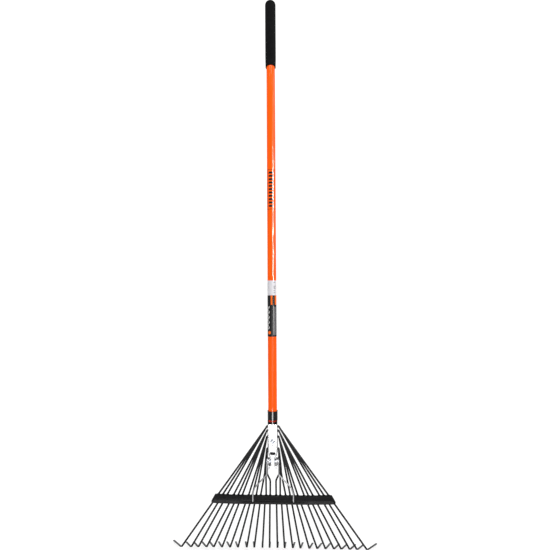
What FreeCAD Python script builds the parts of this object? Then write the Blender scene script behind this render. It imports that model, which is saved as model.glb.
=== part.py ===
"""Spring-brace leaf rake: a parametric FreeCAD document, in millimetres.

Every height in the sheet is measured up from a level just under the tines' heels, and every
depth (Y) from the handle's axis, with the hooks pointing towards +Y and the brace on the -Y
side. The part's own origin is on the handle's axis at the middle of the grip, so each
sub-part is lowered by grasp_height when it is placed.
"""
import FreeCAD
import Part
import math
import os
import re

import Sketcher
from FreeCAD import Vector

os.makedirs("parts", exist_ok=True)
doc = FreeCAD.newDocument("leaf_rake")

# ---------------------------------------------------------------- driving dimensions

SIZES = [
    ("grasp_height", 1500),         # the origin: middle of the grip
    # handle
    ("handle_diameter", 25.4),
    ("handle_wall", 3),
    ("handle_foot", 352.6),
    ("handle_end", 1588),
    ("grip_foot", 1392),
    ("grip_crown", 1599),
    ("grip_taper", 28.5),
    ("grip_diameter", 32),
    ("grip_foot_diameter", 30.6),
    ("grip_dome", 13),
    ("collar_foot", 356.8),
    ("collar_crown", 381),
    ("collar_diameter", 28.8),
    ("slip_gap", 0.1),              # radial gap of every sleeve on the handle
    # black plug that closes the handle's lower end and fills the shank
    ("plug_diameter", 24.8),
    ("plug_spigot_crown", 398),
    ("plug_nose_diameter", 18.8),
    ("plug_nose_crown", 276),
    ("plug_nose_foot", 262.5),
    ("plug_flat", 2),
    # labels
    ("label_film", 0.25),
    ("label_foot", 589),
    ("label_crown", 706),
    ("label_angle", 230),
    ("sticker_crown", 748.5),
    ("sticker_angle", 150),
    # sheet-steel shank
    ("sheet", 1.1),
    ("shank_half_width", 13.9),
    ("shank_crown", 356.5),
    ("shank_face_crown", 346),
    ("shank_shoulder", 271),
    ("waist_half_width", 11),
    ("waist_crown", 266),
    ("waist_foot", 262),
    ("neck_half_width", 7),
    ("neck_crown", 257),
    ("shank_foot", 225.5),
    ("shank_front", 13.9),
    ("shank_back", 14.6),
    ("neck_back", 1.5),
    ("shank_corner", 4),
    ("fold_step", 1.6),
    ("ear_half_width", 12.6),
    ("ear_crown", 234.5),
    ("window_half_width", 7.3),
    ("window_foot", 263.7),
    ("window_crown", 272),
    ("locating_hole_height", 290.6),
    ("locating_hole_diameter", 3.2),
    # rivet through the shank
    ("rivet_height", 301.3),
    ("rivet_diameter", 6),
    ("rivet_hole", 6.3),
    ("rivet_head_diameter", 13.5),
    ("rivet_head_rise", 2.6),
    ("rivet_tail_diameter", 10),
    ("rivet_tail_rise", 2.4),
    ("washer_diameter", 16),
    ("washer_sheet", 1.2),
    # spring brace
    ("brace_wire", 3.6),
    ("coil_radius", 8.2),
    ("coil_pitch", 3.75),
    ("coil_turns", 1.5),
    ("coil_height", 245.5),
    ("coil_depth", -8.2),
    ("tail_x", 9.5),
    ("tail_height", 230),
    ("tail_hole", 4.2),
    ("brace_pin_diameter", 11),
    ("brace_pin_hole", 11.3),
    ("brace_pin_half_length", 17.6),
    ("brace_pin_head", 13.6),
    ("brace_pin_head_rise", 1.3),
    ("knee_height", 213),
    ("elbow_x", 50.6),
    ("elbow_height", 174),
    ("elbow_depth", -8.5),
    ("foot_x", 56.5),
    ("foot_height", 132.8),
    ("foot_drop", 19),              # from the elbow down to where the wire meets the bar's face
    ("foot_depth", -3.4),
    ("foot_end_depth", 9.2),
    ("foot_hole", 4.4),
    ("wire_bend", 5),
    ("knee_bend", 10),
    ("foot_bend", 3.5),
    ("tail_stub", 1.4),
    ("tail_run", 6),
    ("leg_run", 14),
    ("knee_step", 1),
    # cross bar
    ("bar_foot", 125.2),
    ("bar_crown", 147.2),
    ("bar_waist", 130.2),
    ("bar_bow", 1.9),               # rise of the bar's ends over its middle
    ("bar_bow_half", 104),          # the middle stretch, which doesn't rise
    ("bar_crown_half", 163.5),
    ("bar_waist_half", 173.5),
    ("bar_foot_half", 172),
    ("bar_sheet", 1.2),
    ("bar_rim", 1.8),
    ("bar_ledge", 6),               # height of the sloped wall along the bar's lower edge
    ("bar_front", -1.2),
    ("bar_back", 6.3),
    ("strip_foot", 126.7),
    ("strip_crown", 146.2),
    ("strip_sheet", 1),
    ("strip_gap", 0.05),
    ("strip_inset", 1.5),
    # tines: flat spring strip
    ("tine_width", 5),
    ("tine_sheet", 1.8),
    ("tine_clearance", 0.25),
    ("tine_depth", 7.3),
    ("root_pitch", 2),
    ("root_end_x", 4.4),
    ("root_bend_x", 16.8),
    ("root_bend", 3.2),
    ("fan_bend", 18),
    ("fan_settle", 180),            # down to here the tines of a group lie one behind another
    ("slot_height", 5.2),
    ("heel_bend", 4),
    ("heel_turn", 72),
    ("hook", 47),
    ("outer_hook", 65),
]

# Heights at which the four groups of tines leave the shank, outermost group first.
ROOT_HEIGHTS = [334.3, 322.7, 306.1, 273.5]

# Half distances from the centre line, innermost tine first: at the bar's upper edge,
# at its lower edge, and at the heels.
BAR_CROWN_X = [8.3, 19.7, 34.9, 47.3, 58.3, 68.6, 86.3, 97.9, 110.8, 128.9, 141.7, 154.8]
BAR_FOOT_X = [9.3, 23.4, 37.3, 51.9, 65, 77.3, 95.4, 108.9, 122.5, 141.4, 155.1, 170.1]
HEEL_X = [11, 31, 54, 75.2, 100, 122.1, 144.9, 168.3, 188.6, 211.7, 231.9, 259.5]
HEEL_HEIGHTS = [2.8, 2.7, 2.9, 2.7, 2.4, 2.1, 1.9, 1.9, 1.7, 1.4, 1.1, 1.1]
# Extra corners, half distance and height, of the three innermost tines below the shank.
KNEES = {
    0: [(16.7, 202), (8, 185)],
    1: [(22, 228), (20, 192)],
    2: [(22, 228), (23.4, 206)],
}
TINES_PER_GROUP = 3

sheet = doc.addObject("Spreadsheet::Sheet", "Sizes")
for row, (alias, number) in enumerate(SIZES, start=1):
    sheet.set(f"A{row}", alias)
    sheet.set(f"B{row}", str(number))
    sheet.setAlias(f"B{row}", alias)
doc.recompute()

ALIASES = {alias for alias, number in SIZES}
SIDES = {"left": -1, "right": 1}
NOTHING = 0.001
STRAIGHT = math.radians(0.5)        # a corner that turns less than this has no arc
ARC_STEP = math.radians(10)         # straight stretch that stands for an arc of a flat strip


def size(alias):
    """The value of one cell of the sheet."""
    return float(sheet.get(alias))


def bound(text):
    """An expression in which each alias refers to the sheet."""
    return re.sub(r"[a-z_]+", lambda word: f"Sizes.{word[0]}" if word[0] in ALIASES else word[0], text)


def value(text):
    """The number that an expression gives now."""
    result = sheet.evalExpression(bound(text))
    return float(getattr(result, "Value", result))


# ---------------------------------------------------------------- sketch and body helpers

def new_body(label):
    body = doc.addObject("PartDesign::Body", label)
    body.Label = label
    return body


def sketch_on(body, role, name, offset=None):
    """A sketch on one of the body's origin planes, moved along its normal by an expression."""
    plane = next(item for item in body.Origin.OriginFeatures if item.Role == role)
    sketch = body.newObject("Sketcher::SketchObject", name)
    sketch.AttachmentSupport = [(plane, "")]
    sketch.MapMode = "FlatFace"
    if offset:
        sketch.setExpression("AttachmentOffset.Base.z", bound(offset))
    return sketch


def constrain(sketch, kind, arguments, expression):
    index = sketch.addConstraint(Sketcher.Constraint(kind, *arguments, value(expression)))
    sketch.setExpression(f"Constraints[{index}]", bound(expression))


def outline(sketch, corners):
    """A closed polygon whose corners are pairs of expressions."""
    points = [Vector(value(x), value(y), 0) for x, y in corners]
    first = sketch.GeometryCount
    for start, end in zip(points, points[1:] + points[:1]):
        sketch.addGeometry(Part.LineSegment(start, end))
    last = first + len(points) - 1
    for line in range(first, last):
        sketch.addConstraint(Sketcher.Constraint("Coincident", line, 2, line + 1, 1))
    sketch.addConstraint(Sketcher.Constraint("Coincident", last, 2, first, 1))
    for line, (x, y) in enumerate(corners, start=first):
        constrain(sketch, "DistanceX", (-1, 1, line, 1), x)
        constrain(sketch, "DistanceY", (-1, 1, line, 1), y)


def circle(sketch, x, y, diameter):
    centre = Vector(value(x), value(y), 0)
    index = sketch.addGeometry(Part.Circle(centre, Vector(0, 0, 1), value(diameter) / 2))
    constrain(sketch, "DistanceX", (-1, 1, index, 3), x)
    constrain(sketch, "DistanceY", (-1, 1, index, 3), y)
    constrain(sketch, "Diameter", (index,), diameter)


def mirrored(half):
    """The corners of a symmetric outline, given those of its right half."""
    return half + [(f"-({x})", y) for x, y in reversed(half)]


def revolve(body, sketch):
    """The sketch turned a full circle about its own vertical axis."""
    feature = body.newObject("PartDesign::Revolution", f"{body.Name}_turned")
    feature.Profile = sketch
    feature.ReferenceAxis = (sketch, ["V_Axis"])
    feature.Angle = 360
    return feature


def pad(body, sketch, length, reverse=False):
    feature = body.newObject("PartDesign::Pad", f"{sketch.Name}_pad")
    feature.Profile = sketch
    feature.setExpression("Length", bound(length))
    feature.Reversed = reverse
    return feature


def pocket(body, sketch, length, reverse=False, both_ways=False):
    """A pocket, checked to have taken material away."""
    doc.recompute()
    before = body.Shape.Volume
    feature = body.newObject("PartDesign::Pocket", f"{sketch.Name}_pocket")
    feature.Profile = sketch
    feature.setExpression("Length", bound(length))
    feature.Reversed = reverse
    feature.Midplane = both_ways
    doc.recompute()
    if body.Shape.Volume > before - 0.01:
        raise RuntimeError(f"{feature.Name} cuts nothing")
    return feature


def round_edges(body, radius, choose):
    """A fillet on the body's edges that choose() accepts."""
    doc.recompute()
    base = body.Tip
    names = [f"Edge{i}" for i, edge in enumerate(base.Shape.Edges, start=1) if choose(edge)]
    feature = body.newObject("PartDesign::Fillet", f"{body.Name}_rounded_{len(body.Group)}")
    feature.Base = (base, names)
    feature.setExpression("Radius", bound(radius))
    doc.recompute()
    return feature


def lower(sub_part):
    """Place a sub-part so that the origin is at the middle of the grip."""
    sub_part.setExpression("Placement.Base.z", bound("-grasp_height"))
    sub_parts.append(sub_part)


sub_parts = []


def turned(label, profile):
    """A body turned about the handle's axis, from (radius, height) corners."""
    body = new_body(label)
    sketch = sketch_on(body, "XZ_Plane", f"{label}_profile")
    outline(sketch, profile)
    revolve(body, sketch)
    doc.recompute()
    return body


def shape_part(label, shape):
    """A sub-part whose shape is made by code, in heights above the heels."""
    part = doc.addObject("Part::Feature", label)
    part.Label = label
    part.Shape = shape
    lower(part)
    return part


# ---------------------------------------------------------------- handle

def make_handle():
    outer = "handle_diameter / 2"
    bore = "handle_diameter / 2 - handle_wall"
    tube = turned("handle_tube", [
        (bore, "handle_foot"),
        (outer, "handle_foot"),
        (outer, "handle_end"),
        (bore, "handle_end"),
    ])
    lower(tube)

    inside = "handle_diameter / 2 + slip_gap"
    ceiling = "handle_end + slip_gap"
    grip = turned("handle_grip", [
        (inside, "grip_foot"),
        ("grip_foot_diameter / 2", "grip_foot"),
        ("grip_diameter / 2", "grip_foot + grip_taper"),
        ("grip_diameter / 2", "grip_crown"),
        ("0", "grip_crown"),
        ("0", ceiling),
        (inside, ceiling),
    ])
    radius = size("grip_diameter") / 2

    def is_crown(edge):
        at_top = abs(edge.BoundBox.ZMin - size("grip_crown")) < NOTHING
        return at_top and abs(edge.BoundBox.XMax - radius) < NOTHING

    round_edges(grip, "grip_dome - handle_wall", is_crown)
    lower(grip)

    collar = turned("handle_collar", [
        (inside, "collar_foot"),
        ("collar_diameter / 2", "collar_foot"),
        ("collar_diameter / 2", "collar_crown"),
        (inside, "collar_crown"),
    ])
    lower(collar)


def make_end_plug():
    """A solid plug: a spigot in the tube, a body in the shank, flat behind, and a nose."""
    spigot = "handle_diameter / 2 - handle_wall - slip_gap"
    plug = turned("handle_end_plug", [
        ("0", "plug_nose_foot"),
        ("plug_nose_diameter / 2", "plug_nose_foot"),
        ("plug_nose_diameter / 2", "plug_nose_crown"),
        ("plug_diameter / 2", "plug_nose_crown"),
        ("plug_diameter / 2", "handle_foot - slip_gap"),
        (spigot, "handle_foot - slip_gap"),
        (spigot, "plug_spigot_crown"),
        ("0", "plug_spigot_crown"),
    ])
    flat = sketch_on(plug, "YZ_Plane", "plug_flat_side")
    outline(flat, [
        ("plug_flat", "plug_nose_foot - sheet"),
        ("plug_diameter", "plug_nose_foot - sheet"),
        ("plug_diameter", "handle_foot - sheet"),
        ("plug_flat", "handle_foot - sheet"),
    ])
    pocket(plug, flat, "2 * plug_diameter", both_ways=True)
    rivet_way = sketch_on(plug, "XZ_Plane", "plug_rivet_way")
    circle(rivet_way, "0", "rivet_height", "rivet_hole")
    pocket(plug, rivet_way, "2 * plug_diameter", both_ways=True)
    lower(plug)


def make_wrap(label, foot, crown, radius, angle):
    """A thin film wrapped part of the way round the handle, centred on the front."""
    pieces = {}
    for role, at in (("outside", f"{radius} + label_film"), ("inside", radius)):
        cylinder = doc.addObject("Part::Cylinder", f"{label}_{role}")
        cylinder.setExpression("Radius", bound(at))
        cylinder.setExpression("Height", bound(f"{crown} - ({foot})"))
        cylinder.setExpression("Angle", bound(angle))
        cylinder.setExpression("Placement.Base.z", bound(foot))
        cylinder.setExpression("Placement.Rotation.Angle", bound(f"-90 - {angle} / 2"))
        pieces[role] = cylinder
    film = doc.addObject("Part::Cut", label)
    film.Label = label
    film.Base = pieces["outside"]
    film.Tool = pieces["inside"]
    lower(film)


# ---------------------------------------------------------------- shank

def shank_half(inset):
    """The right half of the shank's front view, drawn in by a sheet's thickness or not."""
    return [
        (f"neck_half_width{inset}", "neck_crown"),
        (f"waist_half_width{inset}", "waist_foot"),
        (f"waist_half_width{inset}", "waist_crown"),
        (f"shank_half_width{inset}", "shank_shoulder"),
    ]


def make_shank():
    shank = new_body("head_shank")
    block = sketch_on(shank, "XZ_Plane", "shank_outline", "-shank_back")
    half = [("neck_half_width", "shank_foot")] + shank_half("") + [("shank_half_width", "shank_crown")]
    outline(block, mirrored(half))
    pad(shank, block, "shank_back + shank_front")

    def is_front_corner(edge):
        box = edge.BoundBox
        in_front = abs(box.YMax + size("shank_front")) < NOTHING
        return in_front and box.ZLength > 1

    round_edges(shank, "shank_corner", is_front_corner)

    # Hollowed in two steps, so that the folds keep their thickness behind the rounded corners.
    for name, inset, left in (
        ("shank_hollow", " - sheet", "sheet + fold_step"),
        ("shank_face_hollow", " - sheet - fold_step", "sheet"),
    ):
        hollow = sketch_on(shank, "XZ_Plane", name, "-shank_back")
        inner = [(f"neck_half_width{inset}", "shank_foot - sheet")] + shank_half(inset)
        inner.append((f"shank_half_width{inset}", "shank_crown + sheet"))
        outline(hollow, mirrored(inner))
        pocket(shank, hollow, f"shank_back + shank_front - ({left})", reverse=True)

    # The walls stand higher than the face, and the neck's walls are shallower.
    face_top = sketch_on(shank, "XZ_Plane", "shank_face_top", "shank_front")
    outline(face_top, mirrored([
        ("shank_half_width - sheet", "shank_face_crown"),
        ("shank_half_width - sheet", "shank_crown + sheet"),
    ]))
    pocket(shank, face_top, "4 * sheet", reverse=False)
    neck_back = sketch_on(shank, "YZ_Plane", "neck_back_cut")
    outline(neck_back, [
        ("neck_back", "shank_foot - sheet"),
        ("shank_back + sheet", "shank_foot - sheet"),
        ("shank_back + sheet", "shank_shoulder - sheet"),
        ("neck_back + sheet", "shank_shoulder - 2 * sheet"),
        ("neck_back", "waist_foot"),
    ])
    pocket(shank, neck_back, "3 * shank_half_width", both_ways=True)

    slots = sketch_on(shank, "YZ_Plane", "root_slots")
    for height in ROOT_HEIGHTS:
        outline(slots, [
            ("plug_flat - slip_gap", f"{height} - slot_height / 2"),
            ("shank_back + sheet", f"{height} - slot_height / 2"),
            ("shank_back + sheet", f"{height} + slot_height / 2"),
            ("plug_flat - slip_gap", f"{height} + slot_height / 2"),
        ])
    pocket(shank, slots, "3 * shank_half_width", both_ways=True)

    openings = sketch_on(shank, "XZ_Plane", "face_openings", "shank_front")
    outline(openings, mirrored([
        ("window_half_width", "window_foot"),
        ("window_half_width", "window_crown"),
    ]))
    circle(openings, "0", "rivet_height", "rivet_hole")
    circle(openings, "0", "locating_hole_height", "locating_hole_diameter")
    pocket(shank, openings, "3 * sheet")

    pin_way = sketch_on(shank, "YZ_Plane", "brace_pin_way")
    circle(pin_way, "coil_depth", "coil_height", "brace_pin_hole")
    pocket(shank, pin_way, "3 * shank_half_width", both_ways=True)

    ears = sketch_on(shank, "XZ_Plane", "shank_ears", "shank_front")
    outline(ears, mirrored([
        ("ear_half_width", "shank_foot"),
        ("ear_half_width", "ear_crown"),
    ]))
    for sign in SIDES.values():
        circle(ears, f"{sign} * tail_x", "tail_height", "tail_hole")
    pad(shank, ears, "sheet", reverse=True)

    def is_ear_corner(edge):
        box = edge.BoundBox
        across = abs(box.YLength - size("sheet")) < NOTHING and box.ZLength < NOTHING
        return across and abs(box.XLength) < NOTHING and abs(abs(box.XMax) - size("ear_half_width")) < NOTHING

    round_edges(shank, "sheet", is_ear_corner)
    lower(shank)


def make_clamp_plate():
    plate = new_body("shank_clamp_plate")
    half_width = "shank_half_width - sheet - slip_gap"
    back = sketch_on(plate, "XZ_Plane", "clamp_outline", "-shank_back")
    outline(back, mirrored([
        (half_width, "shank_shoulder"),
        (half_width, "shank_crown - 2 * sheet"),
    ]))
    circle(back, "0", "rivet_height", "rivet_hole")
    pad(plate, back, "sheet", reverse=True)
    doc.recompute()

    def is_corner(edge):
        box = edge.BoundBox
        return box.YLength > size("sheet") - NOTHING and box.XLength < NOTHING and box.ZLength < NOTHING

    round_edges(plate, "2 * sheet", is_corner)
    lower(plate)


def along_y(body_label, profile):
    """A body turned about a line along Y, from (radius, -Y) corners, at the rivet's height."""
    body = new_body(body_label)
    sketch = sketch_on(body, "XY_Plane", f"{body_label}_profile", "rivet_height")
    outline(sketch, profile)
    revolve(body, sketch)
    doc.recompute()
    return body


def make_rivet():
    washer_face = "shank_back + sheet + washer_sheet"
    rivet = along_y("shank_rivet", [
        ("0", "-shank_front - rivet_head_rise"),
        ("rivet_head_diameter / 4", "-shank_front - rivet_head_rise * 0.93"),
        ("rivet_head_diameter * 0.4", "-shank_front - rivet_head_rise * 0.6"),
        ("rivet_head_diameter / 2", "-shank_front"),
        ("rivet_diameter / 2", "-shank_front"),
        ("rivet_diameter / 2", washer_face),
        ("rivet_tail_diameter / 2", washer_face),
        ("rivet_tail_diameter * 0.4", f"{washer_face} + rivet_tail_rise * 0.7"),
        ("0", f"{washer_face} + rivet_tail_rise"),
    ])
    lower(rivet)
    washer = along_y("rivet_washer", [
        ("rivet_hole / 2", "shank_back + sheet"),
        ("washer_diameter / 2", "shank_back + sheet"),
        ("washer_diameter / 2", washer_face),
        ("rivet_hole / 2", washer_face),
    ])
    lower(washer)


def make_brace_pin():
    pin = new_body("brace_pin")
    sketch = sketch_on(pin, "XZ_Plane", "brace_pin_profile", "-coil_depth")
    head = "brace_pin_half_length + brace_pin_head_rise"
    centre = "coil_height"
    outline(sketch, [
        (f"-({head})", centre),
        (f"-({head})", f"{centre} + brace_pin_diameter / 2"),
        ("-brace_pin_half_length", f"{centre} + brace_pin_head / 2"),
        ("-brace_pin_half_length", f"{centre} + brace_pin_diameter / 2"),
        ("brace_pin_half_length", f"{centre} + brace_pin_diameter / 2"),
        ("brace_pin_half_length", f"{centre} + brace_pin_head / 2"),
        (head, f"{centre} + brace_pin_diameter / 2"),
        (head, centre),
    ])
    feature = revolve(pin, sketch)
    feature.ReferenceAxis = (sketch, ["Edge8"])
    lower(pin)


# ---------------------------------------------------------------- bent wire

def rounded_path(points, bends):
    """Straight edges through the points, joined by tangent arcs of the given radii."""
    edges = []
    start = points[0]
    for before, corner, after, radius in zip(points, points[1:], points[2:], bends):
        back = (before - corner).normalize()
        onward = (after - corner).normalize()
        between = back.getAngle(onward)
        if between > math.pi - STRAIGHT:
            continue
        half_angle = between / 2
        setback = radius / math.tan(half_angle)
        middle = (back + onward).normalize() * (radius / math.sin(half_angle) - radius)
        arc_start = corner + back * setback
        arc_end = corner + onward * setback
        edges.append(Part.LineSegment(start, arc_start).toShape())
        edges.append(Part.Arc(arc_start, corner + middle, arc_end).toShape())
        start = arc_end
    edges.append(Part.LineSegment(start, points[-1]).toShape())
    return edges


def wire_solid(edges, diameter):
    """A round wire swept along joined edges."""
    path = Part.Wire(edges)
    first = path.OrderedEdges[0]
    begin = first.valueAt(first.FirstParameter)
    heading = first.tangentAt(first.FirstParameter)
    section = Part.Wire(Part.makeCircle(diameter / 2, begin, heading))
    solid = path.makePipeShell([section], True, False)
    expected = math.pi * diameter ** 2 / 4 * path.Length
    if abs(solid.Volume - expected) > 0.02 * expected:
        raise RuntimeError(f"wire volume {solid.Volume:.0f}, expected {expected:.0f}")
    return solid


# ---------------------------------------------------------------- tines

def tine_stations(number):
    """The corners of one right-hand tine's centre line, from its root in the shank to its
    heel. The innermost tine is number 0."""
    group = len(ROOT_HEIGHTS) - 1 - number // TINES_PER_GROUP
    place = number % TINES_PER_GROUP - 1
    root = ROOT_HEIGHTS[group]
    flat = size("tine_depth")
    deep = flat - place * size("root_pitch")
    stations = [Vector(size("root_end_x"), deep, root), Vector(size("root_bend_x"), deep, root)]
    for x, height in KNEES.get(number, []):
        stations.append(Vector(x, deep, height))
    crown = Vector(BAR_CROWN_X[number], flat, size("bar_crown"))
    run = stations[-1] - crown
    settle = crown + run * ((size("fan_settle") - crown.z) / run.z)
    settle.y = deep
    stations.append(settle)
    stations.append(crown)
    stations.append(Vector(BAR_FOOT_X[number], flat, size("bar_foot")))
    stations.append(Vector(HEEL_X[number], flat, size("tine_sheet")))
    return stations


def along_path(edges):
    """Points and headings along joined edges: the ends of each line and steps round each arc."""
    samples = []
    for edge in edges:
        first, last = edge.ParameterRange
        turning = edge.tangentAt(first).getAngle(edge.tangentAt(last))
        steps = max(1, math.ceil(turning / ARC_STEP))
        for step in range(steps + 1):
            parameter = first + (last - first) * step / steps
            point = edge.valueAt(parameter)
            if not samples or point.distanceToPoint(samples[-1][0]) > NOTHING:
                samples.append((point, edge.tangentAt(parameter)))
    return samples


def strip_section(centre, across, through):
    """A rectangle round centre, between plus and minus each of the two half sides."""
    corners = [
        centre + across - through,
        centre + across + through,
        centre - across + through,
        centre - across - through,
    ]
    return Part.makePolygon(corners + corners[:1])


def make_tine(side, number):
    """A flat strip that stays face on to the fan, then folds back over a crease along X."""
    stations = tine_stations(number)
    run = (stations[-1] - stations[-2]).normalize()
    drop = -run.z
    lean = run.x / drop
    half_width = size("tine_width") / 2
    half_sheet = size("tine_sheet") / 2
    radius = size("heel_bend")
    turn = math.radians(size("heel_turn"))
    fold_height = HEEL_HEIGHTS[number] + (radius + half_sheet) * math.sin(turn)
    fold = stations[-1] - run * ((fold_height - stations[-1].z) / drop)
    stations[-1] = fold
    bends = [size("root_bend")] + [size("fan_bend")] * (len(stations) - 3)
    samples = along_path(rounded_path(stations, bends))
    sections = []
    for point, heading in samples[:-1]:
        across = Vector(-heading.z, 0, heading.x).normalize() * half_width
        sections.append(strip_section(point, across, Vector(0, half_sheet, 0)))

    # The fold and the hook: travel is measured along the strip, square to the crease.
    across = Vector(half_width / drop, 0, 0)
    steps = math.ceil(turn / ARC_STEP)
    for step in range(steps + 1):
        angle = turn * step / steps
        rise = Vector(0, math.cos(angle), math.sin(angle))
        centre = fold + Vector(lean * radius * angle, radius, 0) - rise * radius
        sections.append(strip_section(centre, across, rise * half_sheet))
    length = size("outer_hook") if number == len(HEEL_X) - 1 else size("hook")
    travel = (length - radius * math.tan(turn / 2)) * drop
    onward = Vector(0, math.sin(turn), -math.cos(turn))
    end = centre + Vector(lean * travel, 0, 0) + onward * travel
    square = (Vector(drop, 0, 0) - onward * run.x) * half_width
    sections.append(strip_section(end, square, rise * half_sheet))

    solid = Part.makeLoft(sections, True, True)
    if SIDES[side] < 0:
        solid = solid.mirror(Vector(), Vector(1, 0, 0))
    shape_part(f"tine_{side}_{number + 1}", solid)


# ---------------------------------------------------------------- spring brace

def make_brace(side):
    """One wire: a tail in the shank's ear, a coil on the pin, and a leg to the cross bar."""
    radius = size("coil_radius")
    pitch = size("coil_pitch")
    turns = size("coil_turns")
    centre_y = size("coil_depth")
    centre_z = size("coil_height")
    advance = pitch * turns
    tail_x = size("tail_x")
    leg_x = tail_x + advance
    drift = pitch / (2 * math.pi * radius)      # sideways travel of the wire, along its helix

    helix = Part.makeHelix(pitch, advance, radius)
    helix.rotate(Vector(), Vector(0, 1, 0), 90)
    helix.translate(Vector(tail_x, centre_y, centre_z))
    ends = [helix.Edges[0].valueAt(p) for p in helix.Edges[0].ParameterRange]
    turn = math.degrees(math.atan2(ends[0].z - centre_z, ends[0].y - centre_y))
    helix.rotate(Vector(tail_x, centre_y, centre_z), Vector(1, 0, 0), -turn)

    back = centre_y + radius
    tail_run = size("tail_run")
    tail = [
        Vector(tail_x, -size("shank_front") - size("tail_stub"), size("tail_height")),
        Vector(tail_x, back, size("tail_height")),
        Vector(tail_x - drift * tail_run, back, centre_z - tail_run),
        Vector(tail_x, back, centre_z),
    ]
    front = centre_y - radius
    leg_run = size("leg_run")
    leg = [
        Vector(leg_x, front, centre_z),
        Vector(leg_x + drift * leg_run, front, centre_z - leg_run),
        Vector(leg_x + size("knee_step"), front + size("knee_step"), size("knee_height")),
        Vector(size("elbow_x"), size("elbow_depth"), size("elbow_height")),
        Vector(size("foot_x"), size("foot_depth"), size("elbow_height") - size("foot_drop")),
        Vector(size("foot_x"), size("foot_depth"), size("foot_height")),
        Vector(size("foot_x"), size("foot_end_depth"), size("foot_height")),
    ]
    bend = size("wire_bend")
    knee = size("knee_bend")
    edges = rounded_path(tail, [bend, bend])
    edges += helix.Edges
    edges += rounded_path(leg, [bend, bend, knee, knee, size("foot_bend")])
    solid = wire_solid(edges, size("brace_wire"))
    if SIDES[side] < 0:
        solid = solid.mirror(Vector(), Vector(1, 0, 0))
    shape_part(f"spring_brace_{side}", solid)


# ---------------------------------------------------------------- cross bar

def bar_half(inset, foot, crown):
    """The right half of the bar's outline, in from its ends by inset. The ends rise a little."""
    return [
        ("bar_bow_half", foot),
        (f"bar_foot_half{inset}", f"{foot} + bar_bow"),
        (f"bar_waist_half{inset}", "bar_waist + bar_bow"),
        (f"bar_crown_half{inset}", f"{crown} + bar_bow"),
        ("bar_bow_half", crown),
    ]


def make_cross_bar():
    """A shallow tray, open to the front, whose lower wall slopes."""
    bar = new_body("cross_bar")
    tray = sketch_on(bar, "XZ_Plane", "bar_outline", "-bar_back")
    outline(tray, mirrored(bar_half("", "bar_foot", "bar_crown")))
    pad(bar, tray, "bar_back - bar_front")
    mouth = sketch_on(bar, "XZ_Plane", "bar_recess_mouth", "-bar_front")
    outline(mouth, mirrored(bar_half(" - bar_rim", "bar_foot + bar_sheet", "bar_crown - bar_sheet")))
    floor = sketch_on(bar, "XZ_Plane", "bar_recess_floor", "bar_sheet - bar_back")
    outline(floor, mirrored([
        ("bar_bow_half", "bar_foot + bar_ledge"),
        ("bar_waist_half - 2 * bar_rim", "bar_foot + bar_ledge + bar_bow"),
        ("bar_waist_half - 2 * bar_rim", "bar_foot + bar_ledge + bar_bow + bar_sheet"),
        ("bar_crown_half - bar_rim", "bar_crown - bar_sheet + bar_bow"),
        ("bar_bow_half", "bar_crown - bar_sheet"),
    ]))
    recess = bar.newObject("PartDesign::SubtractiveLoft", "bar_recess")
    recess.Profile = mouth
    recess.Sections = [floor]
    recess.Ruled = True
    doc.recompute()
    holes = sketch_on(bar, "XZ_Plane", "brace_holes", "-bar_back")
    for sign in SIDES.values():
        circle(holes, f"{sign} * foot_x", "foot_height", "foot_hole")
    pocket(bar, holes, "3 * bar_sheet", reverse=True)

    def is_outer_back(edge):
        box = edge.BoundBox
        on_back = box.YMin > size("bar_back") - NOTHING
        return on_back and box.XLength > size("bar_crown_half") - size("bar_bow_half")

    round_edges(bar, "bar_sheet", is_outer_back)
    lower(bar)


def tine_run(number, sign, half_width, reach, depth):
    """A straight block along one tine where it crosses the bar, reach beyond it at both ends."""
    stations = tine_stations(number)
    crown = stations[-3]
    foot = stations[-2]
    along = (crown - foot).normalize() * reach
    across = Vector(-along.z, 0, along.x).normalize() * half_width
    corners = [foot - along - across, crown + along - across, crown + along + across, foot - along + across]
    ring = [Vector(sign * corner.x, size("bar_back") + size("strip_gap"), corner.z) for corner in corners]
    return Part.Face(Part.makePolygon(ring + ring[:1])).extrude(Vector(0, depth, 0))


def make_clamp_strip():
    """A strip pressed over the back of each tine, and flat against the bar between them."""
    foot = size("strip_foot")
    crown = size("strip_crown")
    front = size("bar_back") + size("strip_gap")
    clear = size("tine_width") / 2 + size("tine_clearance")
    depth = size("tine_sheet") + size("tine_clearance")
    half_crown = size("bar_crown_half") - size("strip_inset")
    half_foot = size("bar_waist_half") - size("strip_inset")
    bow = size("bar_bow")
    half = [(size("bar_bow_half"), foot), (half_foot, foot + bow), (half_crown, crown + bow)]
    half.append((size("bar_bow_half"), crown))
    corners = half + [(-x, z) for x, z in reversed(half)]
    ring = [Vector(x, front, z) for x, z in corners]
    face = Part.Face(Part.makePolygon(ring + ring[:1]))
    plate = face.extrude(Vector(0, size("strip_sheet"), 0))
    reach = size("tine_width")
    bumps = []
    ways = []
    for number in range(len(HEEL_X)):
        for sign in SIDES.values():
            wide = clear + size("strip_sheet")
            bumps.append(tine_run(number, sign, wide, reach, depth + size("strip_sheet")))
            ways.append(tine_run(number, sign, clear, 2 * reach, depth))
    limits = face.extrude(Vector(0, 2 * depth, 0))
    pressed = plate.fuse([item.common(limits) for item in bumps])
    for sign in SIDES.values():
        centre = Vector(sign * size("foot_x"), 0, size("foot_height"))
        way = Part.makeCylinder(size("foot_hole") / 2, 2 * size("foot_end_depth"), centre, Vector(0, 1, 0))
        ways.append(way)
    strip = pressed.cut(ways).removeSplitter()
    shape_part("bar_clamp_strip", strip)


# ---------------------------------------------------------------- whole rake

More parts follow.
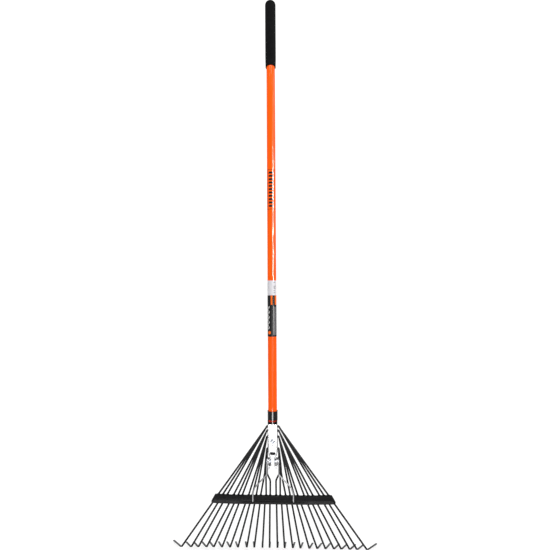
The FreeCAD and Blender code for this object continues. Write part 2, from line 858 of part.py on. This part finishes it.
make_handle()
make_end_plug()
make_wrap("product_label", "label_foot", "label_crown", "handle_diameter / 2 + slip_gap", "label_angle")
make_wrap(
    "price_sticker", "label_crown + slip_gap", "sticker_crown", "handle_diameter / 2 + slip_gap",
    "sticker_angle",
)
make_shank()
make_clamp_plate()
make_rivet()
make_brace_pin()
make_cross_bar()
make_clamp_strip()
for side_name in SIDES:
    make_brace(side_name)
    for tine_number in range(len(HEEL_X)):
        make_tine(side_name, tine_number)

doc.recompute()
broken = [item.Label for item in doc.Objects if "Invalid" in item.State or "Error" in item.State]
if broken:
    raise RuntimeError(f"failed objects: {broken}")
for sub_part in sub_parts:
    if sub_part.Shape.isNull() or not sub_part.Shape.isValid():
        raise RuntimeError(f"bad shape: {sub_part.Label}")
for sub_part in sub_parts:
    sub_part.Shape.exportStep(f"parts/{sub_part.Label}.step")
print(len(sub_parts), "sub-parts written")
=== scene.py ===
"""The leaf rake's finish: surfaces, printed marks and detail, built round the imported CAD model.

Lengths are in metres in the row frame, whose origin is at the middle of the grip. Heights
that are easier to read from the tines' heels are turned into row heights by up().
"""

import math

import bmesh
import bpy
from mathutils import Matrix, Vector


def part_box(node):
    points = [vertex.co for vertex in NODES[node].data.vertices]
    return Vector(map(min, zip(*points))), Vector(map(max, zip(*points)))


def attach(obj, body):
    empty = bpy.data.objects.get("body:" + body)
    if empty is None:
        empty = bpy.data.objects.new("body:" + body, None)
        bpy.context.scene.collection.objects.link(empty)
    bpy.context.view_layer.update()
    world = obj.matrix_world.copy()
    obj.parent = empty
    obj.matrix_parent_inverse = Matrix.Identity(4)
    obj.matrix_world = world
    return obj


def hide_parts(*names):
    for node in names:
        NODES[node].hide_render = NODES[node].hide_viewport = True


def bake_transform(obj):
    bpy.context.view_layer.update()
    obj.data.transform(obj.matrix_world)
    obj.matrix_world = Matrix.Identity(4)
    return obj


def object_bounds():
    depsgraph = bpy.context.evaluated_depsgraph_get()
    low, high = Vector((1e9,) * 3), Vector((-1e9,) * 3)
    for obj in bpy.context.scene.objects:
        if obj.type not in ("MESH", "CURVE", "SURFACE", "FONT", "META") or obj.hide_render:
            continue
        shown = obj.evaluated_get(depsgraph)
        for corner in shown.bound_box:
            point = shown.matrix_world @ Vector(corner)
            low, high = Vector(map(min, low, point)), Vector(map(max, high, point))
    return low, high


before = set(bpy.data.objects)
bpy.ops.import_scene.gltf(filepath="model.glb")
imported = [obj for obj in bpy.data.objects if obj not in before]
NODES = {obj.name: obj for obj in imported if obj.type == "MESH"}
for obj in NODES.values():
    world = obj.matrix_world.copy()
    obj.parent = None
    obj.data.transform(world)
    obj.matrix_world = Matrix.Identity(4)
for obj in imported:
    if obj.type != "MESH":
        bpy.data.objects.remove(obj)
cad_low, cad_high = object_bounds()

MM = 0.001
GRASP_HEIGHT = 1500


def up(height):
    """Row height of a point that is this many millimetres above a level just under the heels."""
    return (height - GRASP_HEIGHT) * MM


# ------------------------------------------------------------------ materials
def new_material(name, colour, roughness, metallic=0.0, specular=0.5, coat=0.0, coat_roughness=0.05):
    """A material with its shader set, ready for texture nodes."""
    material = bpy.data.materials.new(name)
    material.use_nodes = True
    tree = material.node_tree
    shader = tree.nodes["Principled BSDF"]
    shader.inputs["Base Color"].default_value = (*colour, 1)
    shader.inputs["Roughness"].default_value = roughness
    shader.inputs["Metallic"].default_value = metallic
    shader.inputs["Specular IOR Level"].default_value = specular
    shader.inputs["Coat Weight"].default_value = coat
    shader.inputs["Coat Roughness"].default_value = coat_roughness
    return material, tree, shader


def stretched_noise(tree, scale, stretch=(1, 1, 1), detail=4.0, roughness=0.55):
    """Noise in object space; stretch above 1 on an axis packs the pattern tighter along it."""
    place = tree.nodes.new("ShaderNodeTexCoord")
    mapping = tree.nodes.new("ShaderNodeMapping")
    mapping.inputs["Scale"].default_value = stretch
    noise = tree.nodes.new("ShaderNodeTexNoise")
    noise.inputs["Scale"].default_value = scale
    noise.inputs["Detail"].default_value = detail
    noise.inputs["Roughness"].default_value = roughness
    tree.links.new(place.outputs["Object"], mapping.inputs["Vector"])
    tree.links.new(mapping.outputs["Vector"], noise.inputs["Vector"])
    return noise.outputs["Fac"]


def remap(tree, value, low, high, to_low, to_high, smooth=False):
    """Maps value from the range low to high onto the range to_low to to_high."""
    node = tree.nodes.new("ShaderNodeMapRange")
    node.interpolation_type = "SMOOTHSTEP" if smooth else "LINEAR"
    node.inputs["From Min"].default_value = low
    node.inputs["From Max"].default_value = high
    node.inputs["To Min"].default_value = to_low
    node.inputs["To Max"].default_value = to_high
    tree.links.new(value, node.inputs["Value"])
    return node.outputs["Result"]


def mix_colour(tree, factor, first, second):
    """first where factor is 0 and second where it is 1; each is a colour or a socket."""
    node = tree.nodes.new("ShaderNodeMix")
    node.data_type = "RGBA"
    for index, colour in ((6, first), (7, second)):
        if isinstance(colour, tuple):
            node.inputs[index].default_value = (*colour, 1)
        else:
            tree.links.new(colour, node.inputs[index])
    tree.links.new(factor, node.inputs[0])
    return node.outputs[2]


def add_bump(tree, shader, height, distance, strength=1.0):
    """Adds one more layer of relief under the ones already there."""
    node = tree.nodes.new("ShaderNodeBump")
    node.inputs["Distance"].default_value = distance
    node.inputs["Strength"].default_value = strength
    tree.links.new(height, node.inputs["Height"])
    normal = shader.inputs["Normal"]
    if normal.is_linked:
        tree.links.new(normal.links[0].from_socket, node.inputs["Normal"])
    tree.links.new(node.outputs["Normal"], normal)


def vary(tree, shader, colour, other, roughness, spread, scale, stretch=(1, 1, 1)):
    """Drifts the colour and the roughness across the surface."""
    noise = stretched_noise(tree, scale, stretch)
    blend = remap(tree, noise, 0.35, 0.65, 0, 1)
    tree.links.new(mix_colour(tree, blend, colour, other), shader.inputs["Base Color"])
    fine = stretched_noise(tree, scale * 2.7, stretch)
    tree.links.new(remap(tree, fine, 0.3, 0.7, roughness - spread, roughness + spread),
                   shader.inputs["Roughness"])


def tube_finish():
    """Pultruded fibreglass: glossy orange with faint fibres along the tube, and painted shade at its
    foot.
    """
    colour = (0.93, 0.105, 0.001)
    material, tree, shader = new_material("orange_fibreglass", colour, 0.3, specular=0.02,
                                          coat=0.4, coat_roughness=0.06)
    vary(tree, shader, colour, (0.87, 0.090, 0.001), 0.3, 0.06, 220, (1, 1, 0.02))
    mottled = shader.inputs["Base Color"].links[0].from_socket
    # Painted shade: below the collar the tube's foot turns a deep red, for the shadow it lies in
    # there.
    place = tree.nodes.new("ShaderNodeTexCoord")
    split = tree.nodes.new("ShaderNodeSeparateXYZ")
    tree.links.new(place.outputs["Object"], split.inputs["Vector"])
    foot = remap(tree, split.outputs["Z"], up(357.5), up(356), 0, 1)
    tree.links.new(mix_colour(tree, foot, mottled, (0.42, 0.018, 0.001)), shader.inputs["Base Color"])
    add_bump(tree, shader, stretched_noise(tree, 900, (1, 1, 0.015)), 0.00006)
    add_bump(tree, shader, stretched_noise(tree, 60, (1, 1, 0.3)), 0.00001)
    return material


def foam_finish():
    """Closed-cell foam: matt black with fine pores and a soft sheen."""
    colour = (0.0035, 0.0035, 0.0038)
    material, tree, shader = new_material("foam_rubber", colour, 0.85, specular=0.01)
    shader.inputs["Sheen Weight"].default_value = 0.015
    shader.inputs["Sheen Roughness"].default_value = 0.6
    vary(tree, shader, colour, (0.0055, 0.0055, 0.006), 0.85, 0.08, 90)
    place = tree.nodes.new("ShaderNodeTexCoord")
    cells = tree.nodes.new("ShaderNodeTexVoronoi")
    cells.inputs["Scale"].default_value = 1400
    tree.links.new(place.outputs["Object"], cells.inputs["Vector"])
    add_bump(tree, shader, cells.outputs["Distance"], 0.0002, 0.7)
    add_bump(tree, shader, stretched_noise(tree, 300), 0.0002, 0.5)
    return material


def plastic_finish(name, colour, roughness, coat):
    """Moulded black plastic with a fine texture."""
    material, tree, shader = new_material(name, colour, roughness, specular=0.02, coat=coat,
                                          coat_roughness=0.06)
    lighter = tuple(1.35 * channel for channel in colour)
    vary(tree, shader, colour, lighter, roughness, 0.05, 120)
    add_bump(tree, shader, stretched_noise(tree, 1600), 0.00004)
    return material


def film_finish(name, colour, roughness=0.3):
    """Printed self-adhesive film: flat colour, faint orange peel."""
    material, tree, shader = new_material(name, colour, roughness, specular=0.02, coat=0.7,
                                          coat_roughness=0.06)
    other = tuple(0.88 * channel for channel in colour)
    vary(tree, shader, colour, other, roughness, 0.05, 160)
    add_bump(tree, shader, stretched_noise(tree, 420), 0.00004)
    return material


def paper_finish():
    """Matt white sticker paper."""
    colour = (0.60, 0.59, 0.62)
    material, tree, shader = new_material("white_paper", colour, 0.6, specular=0.2)
    vary(tree, shader, colour, (0.56, 0.55, 0.58), 0.6, 0.08, 200)
    add_bump(tree, shader, stretched_noise(tree, 2500), 0.00005)
    return material


def zinc_finish(name, colour, roughness, scale, stretch):
    """Bright zinc plating: fine drawing lines and a faint mottle."""
    material, tree, shader = new_material(name, colour, roughness, metallic=1.0)
    darker = tuple(0.86 * channel for channel in colour)
    vary(tree, shader, colour, darker, roughness, 0.07, scale, stretch)
    add_bump(tree, shader, stretched_noise(tree, scale * 9, stretch), 0.00003)
    add_bump(tree, shader, stretched_noise(tree, 110), 0.00012)
    return material


def enamel_finish(name, colour, roughness, specular):
    """Black stoved enamel over steel: thin, satin and slightly uneven."""
    material, tree, shader = new_material(name, colour, roughness, specular=specular)
    lighter = tuple(1.6 * channel for channel in colour)
    vary(tree, shader, colour, lighter, roughness, 0.08, 70)
    add_bump(tree, shader, stretched_noise(tree, 700), 0.00006)
    add_bump(tree, shader, stretched_noise(tree, 150), 0.00012)
    return material


FINISH = {
    "orange_tube": tube_finish(),
    "foam_grip": foam_finish(),
    "black_plastic": plastic_finish("black_plastic_gloss", (0.006, 0.006, 0.007), 0.22, 0.8),
    "label_film": film_finish("label_black", (0.009, 0.009, 0.010)),
    "sticker_paper": paper_finish(),
    "zinc_sheet": zinc_finish("zinc_plated_sheet", (0.72, 0.72, 0.73), 0.22, 60, (1, 1, 0.12)),
    "zinc_rivet": zinc_finish("zinc_rivet_metal", (0.36, 0.38, 0.42), 0.22, 140, (1, 1, 1)),
    "zinc_wire": zinc_finish("zinc_plated_wire", (0.40, 0.40, 0.41), 0.32, 160, (1, 1, 0.2)),
    "black_enamel": enamel_finish("black_enamel_sheet", (0.0045, 0.0045, 0.005), 0.28, 0.12),
    "black_wire": enamel_finish("black_enamel_strip", (0.012, 0.012, 0.013), 0.36, 0.08),
}
INK_BLACK = film_finish("ink_black", (0.010, 0.009, 0.010), 0.35)
INK_ORANGE = film_finish("ink_orange", (0.92, 0.15, 0.006))
# White ink for the label's pattern, also used for the label's painted highlight band.
INK_WHITE_AND_PAINTED_HIGHLIGHT = film_finish("ink_white_and_painted_highlight", (0.62, 0.61, 0.60))
INK_GREY = film_finish("ink_grey", (0.22, 0.21, 0.22))
INK_PALE = film_finish("ink_pale_grey", (0.16, 0.155, 0.165), 0.5)


def slot_of(node):
    """The record's slot of a CAD node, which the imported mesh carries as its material's name."""
    return NODES[node].data.materials[0].name.split(".")[0]


SLOT = {node: slot_of(node) for node in NODES}
for node, obj in NODES.items():
    obj.material_slots[0].material = FINISH[SLOT[node]]


# ------------------------------------------------------------------ mesh helpers
def add_object(name, mesh, material):
    """An object in the scene made of mesh, with this one material."""
    mesh.materials.clear()
    mesh.materials.append(material)
    obj = bpy.data.objects.new(name, mesh)
    bpy.context.scene.collection.objects.link(obj)
    return obj


def from_bmesh(name, bm, material, sharp_angle=35):
    """A smooth-shaded object from bm, with the edges that turn more than sharp_angle kept crisp."""
    bmesh.ops.recalc_face_normals(bm, faces=bm.faces)
    limit = math.radians(sharp_angle)
    for face in bm.faces:
        face.smooth = True
    for edge in bm.edges:
        edge.smooth = len(edge.link_faces) == 2 and edge.calc_face_angle() < limit
    mesh = bpy.data.meshes.new(name)
    bm.to_mesh(mesh)
    bm.free()
    if "custom_normal" in mesh.attributes:
        mesh.attributes.remove(mesh.attributes["custom_normal"])
    return add_object(name, mesh, material)


def eased_mesh(node, edge_radius):
    """A CAD node's mesh as one skin, with its sharp edges rounded off a little."""
    bm = bmesh.new()
    bm.from_mesh(NODES[node].data)
    bmesh.ops.remove_doubles(bm, verts=bm.verts, dist=1e-6)
    if edge_radius:
        bmesh.ops.dissolve_limit(bm, angle_limit=0.002, verts=bm.verts, edges=bm.edges)
        corners = [e for e in bm.edges if e.is_manifold and e.calc_face_angle() > math.radians(50)]
        bmesh.ops.bevel(bm, geom=corners, offset=edge_radius, segments=2, profile=0.5, affect="EDGES")
    return bm


def ringed_copy(node, low, high, step, edge_radius):
    """A copy of a CAD node's mesh, cut at level planes so that it can bend between low and high."""
    bm = eased_mesh(node, edge_radius)
    for index in range(int((high - low) / step) + 1):
        bmesh.ops.bisect_plane(
            bm, geom=bm.verts[:] + bm.edges[:] + bm.faces[:], dist=1e-7,
            plane_co=(0, 0, low + index * step), plane_no=(0, 0, 1))
    return from_bmesh(node + "_bent", bm, FINISH[SLOT[node]])


def wrap_patch(bm, low, high, start, end, radius, thickness=0.00005):
    """A thin slab wrapped round the handle, for ink and for painted highlight. Angles are in degrees
    from the front, to +X.
    """
    count = max(2, int(abs(end - start) / 4) + 1)
    rings = []
    for index in range(count + 1):
        angle = math.radians(start + (end - start) * index / count)
        across = Vector((math.sin(angle), -math.cos(angle), 0))
        rings.append([bm.verts.new(across * r + Vector((0, 0, z)))
                      for r, z in ((radius, low), (radius + thickness, low),
                                   (radius + thickness, high), (radius, high))])
    for here, there in zip(rings, rings[1:]):
        for side in range(4):
            bm.faces.new((here[side], there[side], there[(side + 1) % 4], here[(side + 1) % 4]))
    bm.faces.new(rings[0])
    bm.faces.new(rings[-1])


def wrap_disc(bm, height, angle, size, radius, bands=9):
    """A thin round dot of ink wrapped on the handle, laid down as narrow bands."""
    step = 2 * size / bands
    for index in range(bands):
        low = (index - bands / 2) * step
        reach = math.degrees(math.sqrt(size ** 2 - (low + step / 2) ** 2) / radius)
        wrap_patch(bm, height + low, height + low + step, angle - reach, angle + reach, radius)


def print_on(name, bm, material):
    """Ink and painted highlight from bm as an object of its own that rides on the handle."""
    obj = from_bmesh(name, bm, material)
    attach(obj, "handle")


def lathe(bm, profile, axis_origin, sides=72):
    """Turns profile, a list of (radius, y), about the line through axis_origin along Y."""
    rings = []
    for radius, depth in profile:
        ring = []
        for index in range(sides if radius > 0 else 1):
            turn = 2 * math.pi * index / sides
            ring.append(bm.verts.new((axis_origin.x + radius * math.sin(turn), depth,
                                      axis_origin.z + radius * math.cos(turn))))
        rings.append(ring)
    for here, there in zip(rings, rings[1:]):
        for index in range(sides):
            after = (index + 1) % sides
            corners = [here[index % len(here)], here[after % len(here)],
                       there[after % len(there)], there[index % len(there)]]
            unique = list(dict.fromkeys(corners))
            if len(unique) > 2:
                bm.faces.new(unique)


# ------------------------------------------------------------------ tines and braces
FLEX_END = up(150)
TINE_FLEX_START = up(272)
BRACE_FLEX_START = up(222)
RING_STEP = 0.004
EDGE_RADIUS = 0.0004
for node in sorted(NODES):
    if node.startswith("tine_"):
        start, edge_radius = TINE_FLEX_START, EDGE_RADIUS
    elif node.startswith("spring_brace_"):
        start, edge_radius = BRACE_FLEX_START, 0
    else:
        continue
    bent = ringed_copy(node, FLEX_END, start, RING_STEP, edge_radius)
    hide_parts(node)
    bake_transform(bent)

# The bar's edges are rounded off, and the round wraps get smooth shading.
for node, edge_radius, body in (("cross_bar", EDGE_RADIUS, "head"), ("product_label", 0, "handle"),
                                ("price_sticker", 0, "handle")):
    skin = from_bmesh(node + "_eased", eased_mesh(node, edge_radius), FINISH[SLOT[node]])
    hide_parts(node)
    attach(skin, body)

# ------------------------------------------------------------------ printing on the handle
TUBE_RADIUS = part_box("handle_tube")[1].x
bm = bmesh.new()
PRINT_LOW, PRINT_HIGH = up(955.5), up(1074)
FRAME_ANGLE = 61
LINE = 0.0011
line_angle = math.degrees(LINE / TUBE_RADIUS)
for low, high in ((PRINT_LOW, PRINT_LOW + LINE), (PRINT_HIGH - LINE, PRINT_HIGH)):
    wrap_patch(bm, low, high, -FRAME_ANGLE, FRAME_ANGLE, TUBE_RADIUS)
for side in (-1, 1):
    wrap_patch(bm, PRINT_LOW + LINE, PRINT_HIGH - LINE, side * FRAME_ANGLE,
               side * (FRAME_ANGLE - line_angle), TUBE_RADIUS)
BAR_COUNT = 11
bar_pitch = (PRINT_HIGH - PRINT_LOW - 0.010) / BAR_COUNT
for index in range(BAR_COUNT):
    low = PRINT_LOW + 0.005 + bar_pitch * (index + 0.2)
    wrap_patch(bm, low, low + bar_pitch * 0.6, -34, 34, TUBE_RADIUS)
print_on("handle_print", bm, INK_BLACK)

# ------------------------------------------------------------------ white sticker
STICKER_LOW, STICKER_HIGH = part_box("price_sticker")[0].z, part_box("price_sticker")[1].z
sticker_radius = -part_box("price_sticker")[0].y
bm = bmesh.new()
for share, length in ((0.10, 0.7), (0.36, 1.0), (0.43, 0.6), (0.50, 0.9), (0.66, 0.5), (0.80, 0.6)):
    low = STICKER_HIGH - (share + 0.045) * (STICKER_HIGH - STICKER_LOW)
    wrap_patch(bm, low, low + 0.0016, 24, 24 + 34 * length, sticker_radius)
for share in (0.2, 0.27, 0.34, 0.41, 0.48, 0.55, 0.62, 0.69):
    low = STICKER_HIGH - share * (STICKER_HIGH - STICKER_LOW)
    wrap_patch(bm, low, low + 0.0014, -68, -58, sticker_radius)
print_on("sticker_print", bm, INK_PALE)

# ------------------------------------------------------------------ black label
LABEL_LOW, LABEL_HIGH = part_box("product_label")[0].z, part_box("product_label")[1].z
label_radius = -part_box("product_label")[0].y
STRIPE_FOOT = LABEL_HIGH - 0.0268
bm = bmesh.new()
for start, end in ((-14, 8), (41, 95)):
    wrap_patch(bm, STRIPE_FOOT, LABEL_HIGH - 0.0004, start, end, label_radius)
wrap_disc(bm, LABEL_LOW + 0.0112, -34, 0.0046, label_radius)
print_on("label_orange", bm, INK_ORANGE)

bm = bmesh.new()
LINE_PITCH = 0.0021
rows = int((STRIPE_FOOT - 0.004 - (LABEL_LOW + 0.005)) / LINE_PITCH)
for index in range(rows):
    low = LABEL_LOW + 0.005 + index * LINE_PITCH
    length = (1.0, 0.86, 0.94, 0.62)[index % 4]
    wrap_patch(bm, low, low + 0.0011, 27, 27 + 58 * length, label_radius)
print_on("label_lines", bm, INK_GREY)

bm = bmesh.new()
# Painted highlight: a narrow white band down the label where the strip light's reflection falls.
wrap_patch(bm, LABEL_LOW + 0.005, STRIPE_FOOT - 0.003, 22, 27, label_radius)
WAVE_LOW, WAVE_HIGH = LABEL_LOW + 0.020, LABEL_HIGH - 0.032
LEAVES = 9
leaf_pitch = (WAVE_HIGH - WAVE_LOW) / LEAVES
for index in range(LEAVES):
    middle = WAVE_LOW + (index + 0.5) * leaf_pitch
    side = -1 if index % 2 else 1
    for step in range(6):
        share = step / 5
        reach = math.sin(math.pi * (0.12 + 0.76 * share))
        centre = -50 + side * (2 + 14 * share)
        wrap_patch(bm, middle + leaf_pitch * (share - 0.5), middle + leaf_pitch * (share - 0.3),
                   centre - 9 * reach, centre + 9 * reach, label_radius)
print_on("label_white", bm, INK_WHITE_AND_PAINTED_HIGHLIGHT)

# ------------------------------------------------------------------ rivet
rivet_low, rivet_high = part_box("shank_rivet")
centre = (rivet_low + rivet_high) / 2
front, back, head = rivet_low.y, rivet_high.y, (rivet_high.x - rivet_low.x) / 2
bm = bmesh.new()
sheet_front = front + 0.0026
sheet_back = back - 0.0024
profile = [
    (0, front + 0.0009), (0.0016, front + 0.0009), (0.0026, front + 0.0008),
    (0.0031, front + 0.0003), (0.0036, front), (0.0046, front + 0.0002),
    (0.0056, front + 0.0008), (0.0063, front + 0.0015), (head, front + 0.0021),
    (head, sheet_front), (0.003, sheet_front), (0.003, sheet_back), (0.005, sheet_back),
    (0.0049, back - 0.0012), (0.0042, back - 0.0004), (0.0030, back), (0, back)]
lathe(bm, profile, centre)
rivet = from_bmesh("rivet_pressed", bm, FINISH["zinc_rivet"], 50)
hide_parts("shank_rivet")
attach(rivet, "handle")

# ------------------------------------------------------------------ floor and light
bm = bmesh.new()
bmesh.ops.create_grid(bm, x_segments=1, y_segments=1, size=30)
mesh = bpy.data.meshes.new("floor")
bm.to_mesh(mesh)
bm.free()
floor_paint, _, floor_shader = new_material("studio_floor", (0.45, 0.45, 0.45), 0.9, specular=0.1)
floor_shader.inputs["Emission Color"].default_value = (1, 1, 1, 1)
floor_shader.inputs["Emission Strength"].default_value = 0.62
floor = add_object("floor", mesh, floor_paint)
floor.location.z = cad_low.z - 0.0005

world = bpy.data.worlds.new("studio")
bpy.context.scene.world = world
world.use_nodes = True
tree = world.node_tree
direction = tree.nodes.new("ShaderNodeTexCoord")
split = tree.nodes.new("ShaderNodeSeparateXYZ")
tree.links.new(direction.outputs["Generated"], split.inputs["Vector"])
path = tree.nodes.new("ShaderNodeLightPath")


def combine(operation, first, second):
    """The result of a math node in the world; each operand is a number or a socket."""
    node = tree.nodes.new("ShaderNodeMath")
    node.operation = operation
    for index, value in enumerate((first, second)):
        if isinstance(value, float):
            node.inputs[index].default_value = value
        else:
            tree.links.new(value, node.inputs[index])
    return node.outputs["Value"]


# An even white to look at; what lights the rake is weaker in front of it and on its left.
lit, mirrored = path.outputs["Is Diffuse Ray"], path.outputs["Is Glossy Ray"]
behind = remap(tree, split.outputs["Y"], -0.6, 0.4, 0.64, 1, True)
to_right = remap(tree, split.outputs["X"], -0.8, 0.4, 0.75, 1.12)
brightness = combine("POWER", behind, combine("MAXIMUM", lit, mirrored))
brightness = combine("MULTIPLY", brightness, combine("POWER", to_right, lit))
brightness = combine("MULTIPLY", brightness, combine("POWER", 0.4, mirrored))
brightness = combine("MULTIPLY", brightness, 1.1)
background = tree.nodes["Background"]
background.inputs["Color"].default_value = (1, 1, 1, 1)
tree.links.new(brightness, background.inputs["Strength"])


def softbox(name, foot, head, width, radiance, lights=True, reflects=True):
    """A long studio light from foot to head, turned to face the rake. radiance is what it
    shows, next to the background's 1. It can be left out of what it lights, or of what
    reflects it."""
    foot, head = Vector(foot), Vector(head)
    middle = (foot + head) / 2
    along = (head - foot).normalized()
    back = middle - Vector((0, 0, middle.z))
    back = (back - along * back.dot(along)).normalized()
    data = bpy.data.lights.new(name, "AREA")
    data.shape = "RECTANGLE"
    data.size, data.size_y = width, (head - foot).length
    data.energy = radiance * data.size * data.size_y * math.pi
    light = bpy.data.objects.new(name, data)
    bpy.context.scene.collection.objects.link(light)
    axes = Matrix((along.cross(back), along, back)).transposed()
    light.matrix_world = Matrix.Translation(middle) @ axes.to_4x4()
    light.visible_camera = False
    light.visible_diffuse = lights
    light.visible_glossy = reflects


softbox("card_collar", (-0.16, -0.9, up(62)), (0.20, -0.9, up(62)), 0.09, 18, lights=False)
softbox("card_low", (0.04, -1.2, up(60)), (0.35, -1.2, up(600)), 0.5, 2, lights=False)
softbox("card_middle", (0.74, -1.15, up(440)), (1.17, -0.86, up(1750)), 0.30, 115, lights=False)
softbox("card_high", (1.17, -0.86, up(1750)), (1.3, -0.1, up(2300)), 0.5, 4, lights=False)
softbox("key_right", (1.1, -1.9, up(900)), (1.1, -1.9, up(2300)), 1.2, 1.6, reflects=False)
softbox("overhead", (-1.0, -1.65, up(3000)), (1.0, -1.65, up(3000)), 0.9, 8)

# Grey cards at both sides, which only reflections see: they give the bright metal its edges.
card_paint, _, card_shader = new_material("grey_card", (0.1, 0.1, 0.1), 1.0, specular=0.0)
card_shader.inputs["Emission Color"].default_value = (1, 1, 1, 1)
card_shader.inputs["Emission Strength"].default_value = 0.25
CARD_DISTANCE = 0.37
CARD_FOOT, CARD_HEAD = up(10), up(760)
CARD_FRONT, CARD_BACK = -0.8, 0.3
for side in (-1, 1):
    bm = bmesh.new()
    corners = [(side * CARD_DISTANCE, y, z)
               for y, z in ((CARD_FRONT, CARD_FOOT), (CARD_BACK, CARD_FOOT),
                            (CARD_BACK, CARD_HEAD), (CARD_FRONT, CARD_HEAD))]
    bm.faces.new([bm.verts.new(corner) for corner in corners])
    mesh = bpy.data.meshes.new("grey_card")
    bm.to_mesh(mesh)
    bm.free()
    card = add_object("grey_card", mesh, card_paint)
    card.visible_camera = False
    card.visible_diffuse = False
    card.visible_shadow = False
    card.visible_transmission = False

# ------------------------------------------------------------------ camera
CAMERA_PLACE = Vector((0.042, -1.004, up(701)))
SENSOR_WIDTH = 36
FOCAL_LENGTH = 22.7127
YAW, PITCH, ROLL = math.radians(-1.87), math.radians(3.64), math.radians(-0.365)
ahead = Vector((math.sin(YAW) * math.cos(PITCH), math.cos(YAW) * math.cos(PITCH), math.sin(PITCH)))
level = Vector((math.cos(YAW), -math.sin(YAW), 0))
above = level.cross(ahead)
right = level * math.cos(ROLL) + above * math.sin(ROLL)
top = above * math.cos(ROLL) - level * math.sin(ROLL)
lens = bpy.data.cameras.new("camera")
lens.sensor_width = SENSOR_WIDTH
lens.lens = FOCAL_LENGTH
lens.clip_start, lens.clip_end = 0.01, 100
camera = bpy.data.objects.new("camera", lens)
bpy.context.scene.collection.objects.link(camera)
turned = Matrix((right, top, -ahead)).transposed().to_4x4()
camera.matrix_world = Matrix.Translation(CAMERA_PLACE) @ turned
bpy.context.scene.camera = camera
bpy.context.scene.view_settings.view_transform = "Standard"
